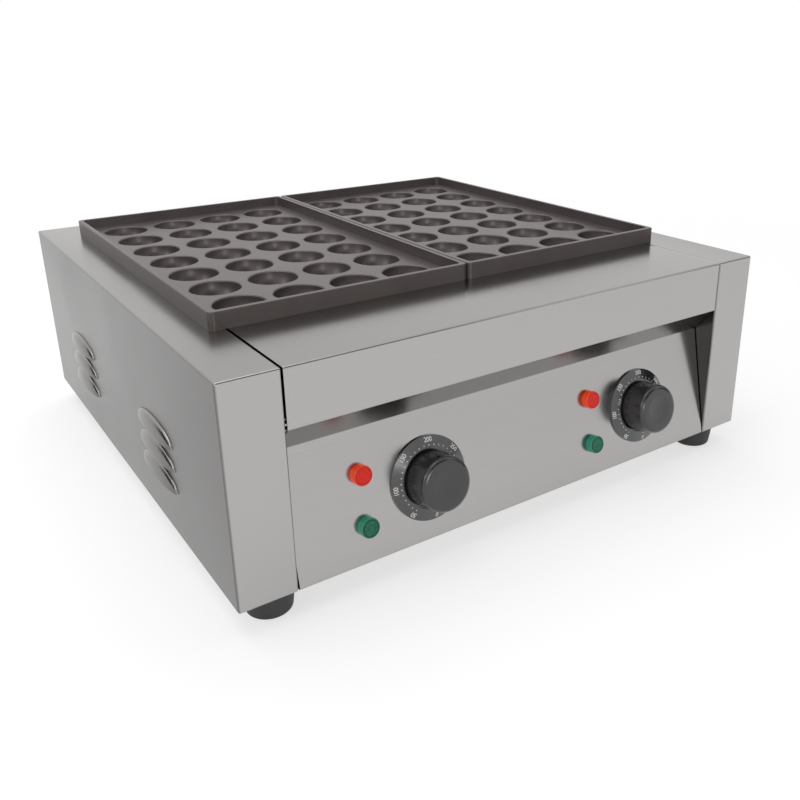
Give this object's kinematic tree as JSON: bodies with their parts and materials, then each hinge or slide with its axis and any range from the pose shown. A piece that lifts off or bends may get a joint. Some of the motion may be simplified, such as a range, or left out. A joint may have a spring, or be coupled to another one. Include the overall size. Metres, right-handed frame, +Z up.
{
  "type": "takoyaki maker",
  "caption": "Countertop takoyaki griddle: folded steel case, lift-off cast plates of half-ball moulds, set-back control panel with dials and lamps.",
  "frame": {"origin": "on the table, under the centre of the case", "axes": "+X to the right seen from the front, +Y to the back, +Z up"},
  "size_m": [0.51, 0.5324, 0.1976],
  "materials": {
    "case_steel": "brushed stainless sheet",
    "tray_steel": "plain rolled sheet",
    "element_tube": "heat-darkened stainless tube",
    "brass_nuts": "turned",
    "cast_iron": "cast, dark baked-on coating",
    "dial_plastic": "black moulding, glossy",
    "knob_bakelite": "black bakelite, satin gloss",
    "zinc_steel": "zinc plated",
    "inner_bakelite": "moulded",
    "orange_lens": "clear orange-red plastic",
    "green_lens": "clear green plastic",
    "foot_rubber": "moulded, matt",
    "gland_nylon": "moulded nylon",
    "terminal_ceramic": "glazed white"
  },
  "bodies": {
    "case": {"back_left_foot": "foot_rubber", "back_right_foot": "foot_rubber", "base_pan": "case_steel", "base_screws": "zinc_steel", "cable_gland": "gland_nylon", "centre_rail": "case_steel", "control_panel": "case_steel", "earth_stud": "zinc_steel", "foot_screws": "zinc_steel", "front_cover": "case_steel", "front_left_foot": "foot_rubber", "front_right_foot": "foot_rubber", "gland_locknut": "gland_nylon", "left_dial_ring": "dial_plastic", "left_element_glands": "brass_nuts", "left_element_rests": "tray_steel", "left_end_housing": "case_steel", "left_heater_tray": "tray_steel", "left_heating_element": "element_tube", "left_lower_lamp_holder": "inner_bakelite", "left_lower_lamp_lens": "green_lens", "left_sensor": "element_tube", "left_thermostat": "inner_bakelite", "left_thermostat_screws": "zinc_steel", "left_upper_lamp_holder": "inner_bakelite", "left_upper_lamp_lens": "orange_lens", "rear_cover": "case_steel", "right_dial_ring": "dial_plastic", "right_element_glands": "brass_nuts", "right_element_rests": "tray_steel", "right_end_housing": "case_steel", "right_heater_tray": "tray_steel", "right_heating_element": "element_tube", "right_lower_lamp_holder": "inner_bakelite", "right_lower_lamp_lens": "green_lens", "right_sensor": "element_tube", "right_thermostat": "inner_bakelite", "right_thermostat_screws": "zinc_steel", "right_upper_lamp_holder": "inner_bakelite", "right_upper_lamp_lens": "orange_lens", "terminal_block": "terminal_ceramic"},
    "left_dial": {"left_knob": "knob_bakelite", "left_thermostat_shaft": "zinc_steel"},
    "left_plate": {"left_mould_plate": "cast_iron"},
    "right_dial": {"right_knob": "knob_bakelite", "right_thermostat_shaft": "zinc_steel"},
    "right_plate": {"right_mould_plate": "cast_iron"}
  },
  "joints": [
    {"name": "left_knob_turn", "type": "hinge", "parent": "case", "child": "left_dial", "pos_m": [-0.09455, -0.23646, 0.06704], "axis": [0, 0.98, -0.1988], "range_deg": [-181, 106]},
    {"name": "right_knob_turn", "type": "hinge", "parent": "case", "child": "right_dial", "pos_m": [0.12455, -0.23646, 0.06704], "axis": [0, 0.98, -0.1988], "range_deg": [-181, 106]},
    {"name": "left_plate_lift", "type": "slide", "parent": "case", "child": "left_plate", "axis": [0, 0, 1], "range_m": [0, 0.08]},
    {"name": "right_plate_lift", "type": "slide", "parent": "case", "child": "right_plate", "axis": [0, 0, 1], "range_m": [0, 0.08]}
  ]
}
